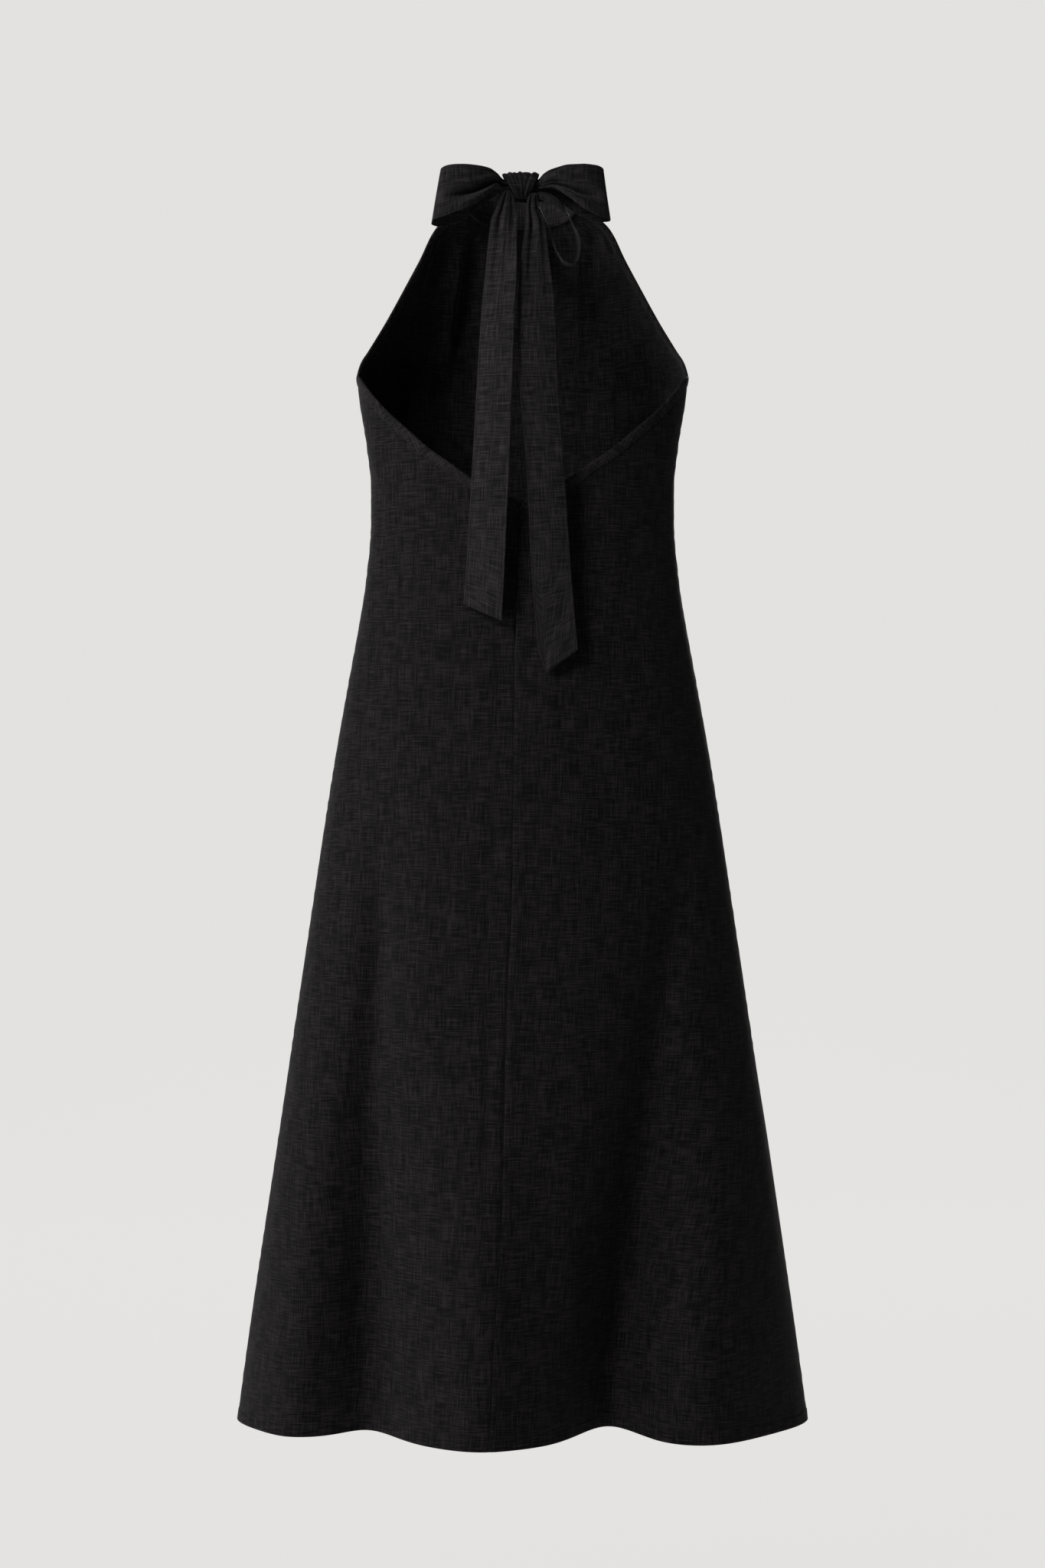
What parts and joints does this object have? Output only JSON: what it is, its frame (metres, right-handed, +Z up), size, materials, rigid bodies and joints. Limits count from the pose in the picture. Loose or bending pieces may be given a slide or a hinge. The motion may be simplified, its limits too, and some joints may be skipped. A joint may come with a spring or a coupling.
{
  "type": "halter dress",
  "caption": "Long A-line halter dress in black linen, filled out and hollow, with an open V back and a bow tied at the nape.",
  "frame": {"origin": "behind the bow's knot, on the axis of the neck band, where the wearer's neck holds the dress", "axes": "+X to the wearer's right, +Y to the wearer's front, +Z up"},
  "size_m": [0.6106, 0.3817, 1.3248],
  "materials": {
    "linen": "matt",
    "linen_tie": "matt",
    "linen_binding": "matt"
  },
  "bodies": {
    "root": {"front": "linen", "back_left": "linen", "back_right": "linen", "edge_binding_left": "linen_binding", "edge_binding_right": "linen_binding", "neck_band": "linen_tie", "bow_knot": "linen_tie", "bow_loop_left": "linen_tie", "bow_loop_right": "linen_tie", "bow_loop_small": "linen_tie", "tie_tail_left": "linen_tie", "tie_tail_right": "linen_tie"}
  },
  "joints": []
}
